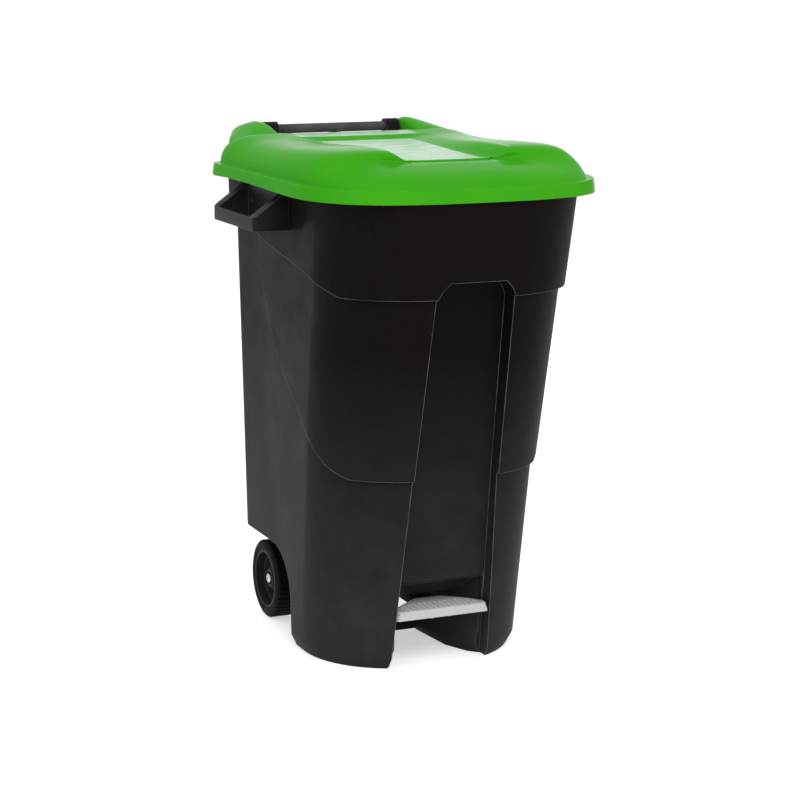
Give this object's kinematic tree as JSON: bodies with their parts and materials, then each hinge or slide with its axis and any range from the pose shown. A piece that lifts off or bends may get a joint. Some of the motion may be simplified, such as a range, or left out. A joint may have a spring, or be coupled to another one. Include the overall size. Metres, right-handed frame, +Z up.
{
  "type": "wheelie bin",
  "caption": "Tall two-wheeled pedal bin with a stepped tapered body, a domed hinged lid, side grips, a rear handle bar and a foot pedal that lifts the lid through a rod.",
  "frame": {"origin": "on the floor, under the centre of the object's bounding box", "axes": "+Z up, +X across the bin to the right as seen from the front, +Y from the front to the hinge at the back"},
  "size_m": [0.5668, 0.6869, 0.887],
  "materials": {
    "body_plastic": "satin moulded polyethylene",
    "lid_plastic": "glossy moulded polyethylene",
    "handle_plastic": "satin moulded",
    "wheel_plastic": "satin moulded",
    "tyre_rubber": "matte rubber",
    "rubber": "matte rubber",
    "pedal_plastic": "light grey, non-slip pattern",
    "steel": "zinc plated",
    "galvanised_steel": "galvanised"
  },
  "bodies": {
    "bin": {"body_shell": "body_plastic", "rear_handle_bar": "handle_plastic", "hinge_bracket_right": "handle_plastic", "hinge_bracket_left": "handle_plastic", "hinge_bracket_screws": "steel", "lid_hinge_pins": "steel", "side_handle_right": "handle_plastic", "side_handle_left": "handle_plastic", "side_handle_screws": "handle_plastic", "axle": "steel", "axle_washers": "steel", "axle_caps": "steel", "pivot_bracket_right": "galvanised_steel", "pivot_bracket_left": "galvanised_steel", "pivot_bracket_screws": "steel", "pivot_pin": "steel", "pivot_clip": "steel", "rod_guide_upper": "handle_plastic", "rod_guide_lower": "handle_plastic", "rod_guide_screws": "steel"},
    "lid_body": {"lid": "lid_plastic", "lid_link_pin": "steel", "lid_buffers": "rubber"},
    "pedal_body": {"pedal_tread": "pedal_plastic", "pedal_lever": "galvanised_steel", "pedal_screws": "steel"},
    "lift_rod_body": {"lift_rod": "galvanised_steel", "lift_rod_foot": "handle_plastic", "lift_rod_yoke": "handle_plastic"},
    "wheel_right_body": {"wheel_right": "wheel_plastic", "tyre_right": "tyre_rubber"},
    "wheel_left_body": {"wheel_left": "wheel_plastic", "tyre_left": "tyre_rubber"}
  },
  "joints": [
    {"name": "lid_hinge", "type": "hinge", "parent": "bin", "child": "lid_body", "pos_m": [0, 0.3265, 0.87], "axis": [-1, 0, 0], "range_deg": [0, 80]},
    {"name": "lift_rod_slide", "type": "slide", "parent": "bin", "child": "lift_rod_body", "axis": [0, 0, 1], "range_m": [0, 0.0295]},
    {"name": "pedal_pivot", "type": "hinge", "parent": "bin", "child": "pedal_body", "pos_m": [0, 0.1525, 0.09], "axis": [1, 0, 0], "range_deg": [0, 10.7]},
    {"name": "wheel_spin_right", "type": "hinge", "parent": "bin", "child": "wheel_right_body", "pos_m": [0, 0.2155, 0.0705], "axis": [1, 0, 0], "continuous": true},
    {"name": "wheel_spin_left", "type": "hinge", "parent": "bin", "child": "wheel_left_body", "pos_m": [0, 0.2155, 0.0705], "axis": [1, 0, 0], "continuous": true}
  ],
  "couplings": [
    {"joint": "lift_rod_slide", "follows": "lid_hinge", "m_per_rad": 0.020985},
    {"joint": "pedal_pivot", "follows": "lid_hinge", "ratio": 0.1328}
  ]
}
